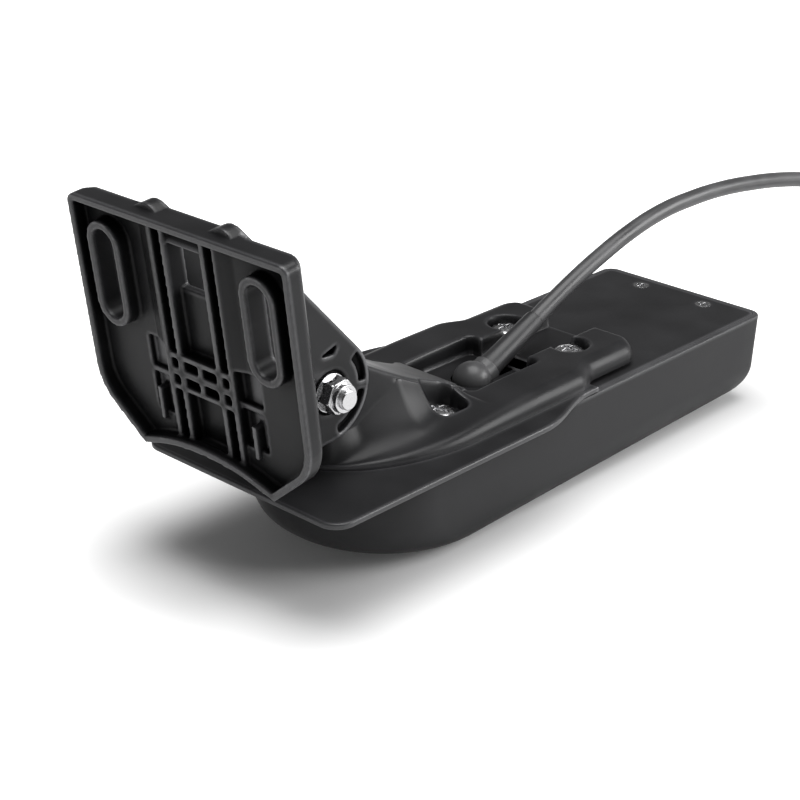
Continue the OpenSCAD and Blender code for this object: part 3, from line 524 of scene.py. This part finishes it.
def foot_hw(x):
    """Half width of the saddle's foot."""
    if x < FOOT_FULL_X:
        return BLOCK_W / 2 * math.sqrt(1 - ((FOOT_FULL_X - x) / (FOOT_FULL_X - FOOT_X)) ** 2)
    if x < BLOCK_AFT - ARM_R:
        return BLOCK_W / 2 - (BLOCK_W - ARM_W) / 2 * float(ease((x - STEP_X) / 12))
    return ARM_W / 2 - ARM_R + math.sqrt(max(0, ARM_R ** 2 - (x - BLOCK_AFT + ARM_R) ** 2))


def ridge_h(x):
    """Height of the saddle along its middle: the neck's ridge, then the flat block."""
    if x > RIDGE_X1:
        return BLOCK_H - turn_in(x, END_R, BLOCK_AFT)
    if x < RIDGE_X0:
        return PIVOT_H - RIDGE_FALL * (RIDGE_X0 - x) / (RIDGE_X0 - FOOT_X)
    rise = (PIVOT_H + RIDGE_OVER_PIVOT - BLOCK_H) * ((RIDGE_X1 - x) / (RIDGE_X1 - RIDGE_X0)) ** RIDGE_POWER
    end = max(0, x - CREST_X) / CREST_R
    return BLOCK_H + rise * math.sqrt(max(0, 1 - end * end))


def shoulder_h(x):
    """Height at which the saddle's side turns over."""
    part = min(1, max(0, (SHOULDER_X - x) / SHOULDER_LEN))
    return min(ridge_h(x), BLOCK_H - (BLOCK_H - SHOULDER_FORE_H) * part ** SHOULDER_POWER)


def flank_h(x):
    """Height at which the sloping flank meets the neck."""
    rise = max(0, x - FLANK_X) * FLANK_RISE
    return max(shoulder_h(x), min(ridge_h(x) - FLANK_BELOW, FLANK_H + rise))


def half_section(x):
    """Half of the saddle's section at x, from the foot's lower edge up to the middle of the ridge."""
    w, s, f, top = foot_hw(x), shoulder_h(x), flank_h(x), ridge_h(x)
    r = min(SHOULDER_R, s - FLANGE_T - .4)
    n = min(NECK_W / 2, w - r - 2)
    high = max(f, top)
    t = np.linspace(0, 1, 66)[1:]
    turn = np.radians(np.linspace(0, 90, 8)[1:])
    crown = min(CROWN_R, high - f)
    low = n + NECK_FLARE
    return np.r_[
        np.c_[np.full(5, w), np.linspace(FLANGE_T - .6, s - r, 5)],
        arc(w - r, s - r, r, 0, 90, 12)[1:],
        np.c_[w - r + (low - w + r) * t, s + (f - s) * t ** FLANK_POWER],
        np.c_[np.linspace(low, n, 9)[1:], np.linspace(f, high - crown, 9)[1:]],
        np.c_[n - CROWN_R * (1 - np.cos(turn)), high - crown + crown * np.sin(turn)],
        np.c_[np.linspace(n - CROWN_R, 0, 36)[1:], np.full(35, high)]]


def box_distance(x, y, x0, x1, hw, r):
    """Signed distance to a box with corners of radius r, negative inside."""
    qx = np.abs(x - (x0 + x1) / 2) - (x1 - x0) / 2 + r
    qy = np.abs(y) - hw + r
    return np.hypot(np.maximum(qx, 0), np.maximum(qy, 0)) + np.minimum(np.maximum(qx, qy), 0) - r


def drop(d, r):
    """How far the surface falls at distance d from a cut's edge that is rounded by r."""
    fillet = r - np.sqrt(np.maximum(0, r * r - np.clip(r - d, 0, r) ** 2))
    return np.where(d > 0, fillet, r - 9 * d)


def smooth_max(a, b, r):
    """The larger of two heights, with their crossing rounded over r."""
    h = np.maximum(r - np.abs(a - b), 0) / r
    return np.maximum(a, b) + h * h * r / 4


def cut(x, y, z):
    """Surface height after the trough, the slot and the screw pockets are let in."""
    shapes = [
        (box_distance(x, y, TROUGH_X, STEP_X, TROUGH_W / 2, TROUGH_R), TROUGH_EDGE_R, FLANGE_T - .5),
        (box_distance(x, y, STEP_X - 4, BLOCK_AFT + 20, SLOT_W / 2, 2), TROUGH_EDGE_R, FLANGE_T)]
    shapes += [(np.hypot(x - a, y - b) - POCKET_R, POCKET_EDGE_R, POCKET_H) for a, b in REAR_SCREWS]
    mid, half = (POCKET_IN + POCKET_OUT) / 2, (POCKET_OUT - POCKET_IN) / 2
    front = box_distance(x, np.abs(y) - mid, POCKET_X0, POCKET_X1, half, 4)
    shapes.append((front, POCKET_EDGE_R, POCKET_H))
    out = z
    for d, r, level in shapes:
        lowered = smooth_max(z - drop(d, r), np.full_like(z, level), CUT_FLOOR_R)
        out = np.minimum(out, np.where(z > level + .05, lowered, z))
    return out


def build_saddle():
    """The saddle's body in cross sections, with the flange and the pivot's hub."""
    stations = np.r_[
        np.arange(-92.4, -50, 1.2), np.arange(-50, BLOCK_AFT - END_R, .4),
        BLOCK_AFT - END_R + END_R * np.sin(np.radians(np.linspace(0, 90, 10)))]
    rows = []
    for x in stations:
        half = half_section(x)
        yz = np.r_[half, half[-2::-1] * (-1, 1)]
        z = cut(np.full(len(yz), x), yz[:, 0], yz[:, 1])
        rows.append(np.c_[np.full(len(yz), x), yz[:, 0], z + TUB_H])
    mesh = ring_mesh("saddle_body", rows, closed=False)
    bm = bmesh.new()
    bm.from_mesh(mesh)
    hole = [f for f in bm.faces if trough_depth(f.calc_center_median() / MM) < 0]
    bmesh.ops.delete(bm, geom=hole, context="FACES")
    bmesh.ops.remove_doubles(bm, verts=bm.verts, dist=4e-5)
    add_flange(bm)
    add_hub(bm)
    bmesh.ops.recalc_face_normals(bm, faces=bm.faces)
    bm.to_mesh(mesh)
    bm.free()
    smooth_by_angle(mesh, SADDLE_DEG)
    new_piece("saddle_body", mesh, "saddle")


def trough_depth(p):
    """Negative where the trough's floor is open for the gland and the boot."""
    if p.z > TUB_H + FLANGE_T + .4:
        return 9
    boot = box_distance(np.float64(p.x), np.float64(p.y), GLAND_X, STEP_X - .6, BOOT_GAP, 1)
    return min(float(boot), math.hypot(p.x - GLAND_X, p.y) - GLAND_GAP)


def flange_outline(inset):
    """Edge of the spray flange: square front with round corners, narrowing to the tub at the rear."""
    t = np.linspace(0, 1, 40)
    bend = np.c_[BEND_END + (BEND_X - BEND_END) * t, TUB_W / 2 + (FLANGE_W - TUB_W) / 2 * ease(t) - inset]
    side = np.c_[np.linspace(BEND_X, -FLANGE_FORE + FLANGE_R, 30), np.full(30, FLANGE_W / 2 - inset)][1:-1]
    corner = arc(-FLANGE_FORE + FLANGE_R, FLANGE_W / 2 - FLANGE_R, FLANGE_R - inset, 90, 180, 16)
    edge = np.r_[[[FLANGE_AFT - inset, TUB_W / 2 - inset]], bend, side, corner]
    return np.r_[edge, edge[::-1] * (1, -1)]


def trough_outline():
    r = TROUGH_R
    hw = TROUGH_W / 2
    half = np.r_[arc(STEP_X - r, hw - r, r, 0, 90, 6), arc(TROUGH_X + r, hw - r, r, 90, 180, 6)]
    return np.r_[half, half[::-1] * (1, -1)]


def add_loops(bm, loops):
    rows = [[bm.verts.new(p * MM) for p in loop] for loop in loops]
    for a, b in zip(rows, rows[1:]):
        for i in range(len(a)):
            j = (i + 1) % len(a)
            bm.faces.new((a[i], a[j], b[j], b[i]))
    return rows


def fill_between(bm, loops):
    edges = [bm.edges.get((r[i], r[(i + 1) % len(r)])) for r in loops for i in range(len(r))]
    bmesh.ops.triangle_fill(bm, use_beauty=True, use_dissolve=False, edges=edges)


def add_flange(bm):
    e = FLANGE_EDGE_R
    turn = np.radians(np.linspace(0, 90, 7))
    low = [(e - e * math.cos(a), e - e * math.sin(a)) for a in turn]
    outer = low + [(FLANGE_T - z, inset) for z, inset in reversed(low)]
    out = add_loops(bm, [at_height(flange_outline(inset), TUB_H + z) for z, inset in outer])
    hole = add_loops(bm, [at_height(trough_outline(), TUB_H + z) for z in (0, FLANGE_T)])
    fill_between(bm, [out[0], hole[0]])
    fill_between(bm, [out[-1], hole[-1]])


def add_hub(bm):
    hw = NECK_W / 2
    e = HUB_EDGE
    profile = [
        (BORE_R, -hw), (HUB_R - e, -hw), (HUB_R, -hw + e), (HUB_R, hw - e), (HUB_R - e, hw), (BORE_R, hw)]
    circle = arc(0, 0, 1, 0, 360, 72)[:-1]
    loops = [
        np.c_[PIVOT_X + r * circle[:, 0], np.full(len(circle), y), TUB_H + PIVOT_H + r * circle[:, 1]]
        for r, y in profile + profile[:1]]
    add_loops(bm, loops)


build_saddle()

# These nodes keep their shape and get broken edges; the bracket gets a new, softer skin
for name, width in (
        ("saddle_screws", .12), ("lock_nut", .18), ("pivot_bolt", .3),
        ("pivot_washers", .12), ("cable_gland", .35), ("strain_boot", .3), ("connector_boot", .2),
        ("connector_body", .3), ("connector_ring", .25), ("deck_screws", .08)):
    rounded(name, width)
moulded("bracket", cell=.4, passes=4, share=.3)

for name, o in nodes.items():
    o.data.materials.clear()
    o.data.materials.append(FINISH[SLOT_OF[name]])
cable.data.materials.append(FINISH["cable"])

# Floor, backdrop and light: what lies behind the object is white, the rest of the room is dim
bpy.ops.mesh.primitive_plane_add(size=FLOOR_SIZE, location=(0, 0, -FLOOR_GAP))
floor = bpy.context.object
floor.name = "floor"
paper = Shader("paper")
paper.set(
    Base_Color=(FLOOR_SHADE, FLOOR_SHADE, FLOOR_SHADE, 1), Roughness=.9, Specular_IOR_Level=0,
    Emission_Color=(1, 1, 1, 1))


def past(tree, value, mid, half):
    """How far a coordinate lies past a span."""
    off = node_math(tree, "ABSOLUTE", node_math(tree, "SUBTRACT", value, mid))
    return node_math(tree, "MAXIMUM", node_math(tree, "SUBTRACT", off, half), 0)


def away_from_object(tree):
    """Lift of the floor's white, which grows with the distance from what stands on it."""
    place = tree.nodes.new("ShaderNodeNewGeometry").outputs["Position"]
    split = tree.nodes.new("ShaderNodeSeparateXYZ")
    tree.links.new(place, split.inputs["Vector"])
    nearest = 1
    for mid, half, reach in PRINTS:
        dx, dy = (past(tree, split.outputs[axis], m, h) for axis, m, h in zip("XY", mid, half))
        square = node_math(
            tree, "ADD", node_math(tree, "MULTIPLY", dx, dx), node_math(tree, "MULTIPLY", dy, dy))
        share = node_math(tree, "DIVIDE", node_math(tree, "SQRT", square), reach)
        nearest = node_math(tree, "MINIMUM", share, nearest)
    fade = tree.nodes.new("ShaderNodeMapRange")
    fade.interpolation_type = "SMOOTHSTEP"
    fade.inputs["To Min"].default_value = FLOOR_NEAR
    fade.inputs["To Max"].default_value = FLOOR_FAR
    tree.links.new(nearest, fade.inputs["Value"])
    return fade.outputs["Result"]


path = paper.tree.nodes.new("ShaderNodeLightPath")
mirrored = node_math(
    paper.tree, "MAXIMUM", path.outputs["Is Glossy Ray"], path.outputs["Is Transmission Ray"])
seen_glow = node_math(
    paper.tree, "MULTIPLY", path.outputs["Is Camera Ray"], away_from_object(paper.tree))
mirrored_glow = node_math(paper.tree, "MULTIPLY", mirrored, FLOOR_SHINE)
paper.join(
    node_math(paper.tree, "ADD", seen_glow, mirrored_glow), paper.bsdf.inputs["Emission Strength"])
floor.data.materials.append(paper.mat)

world = bpy.data.worlds.new("world")
scene.world = world
world.use_nodes = True
sky = world.node_tree.nodes["Background"]
toward = world.node_tree.nodes.new("ShaderNodeTexCoord")
split = world.node_tree.nodes.new("ShaderNodeSeparateXYZ")
fade = world.node_tree.nodes.new("ShaderNodeMapRange")
fade.inputs["From Min"].default_value = SKY_WHITE
fade.inputs["From Max"].default_value = SKY_DIM
fade.inputs["To Min"].default_value = 1
fade.inputs["To Max"].default_value = SKY_LEVEL
world.node_tree.links.new(toward.outputs["Generated"], split.inputs["Vector"])
world.node_tree.links.new(split.outputs["Z"], fade.inputs["Value"])
seen = world.node_tree.nodes.new("ShaderNodeLightPath").outputs["Is Camera Ray"]
world.node_tree.links.new(
    node_math(world.node_tree, "MAXIMUM", fade.outputs["Result"], seen), sky.inputs["Strength"])
sky.inputs["Color"].default_value = (1, 1, 1, 1)


def softbox(name, at, size, power):
    """Rectangular lamp that looks at the origin."""
    data = bpy.data.lights.new(name, "AREA")
    data.shape = "RECTANGLE"
    data.size, data.size_y = size
    data.energy = power
    obj = bpy.data.objects.new(name, data)
    scene.collection.objects.link(obj)
    obj.location = at
    obj.rotation_mode = "QUATERNION"
    obj.rotation_quaternion = (-Vector(at)).to_track_quat("-Z", "Y")


for lamp in LAMPS:
    softbox(*lamp)

scene.render.resolution_x = scene.render.resolution_y = IMAGE_PX
scene.view_settings.view_transform = "Standard"

bpy.context.view_layer.update()
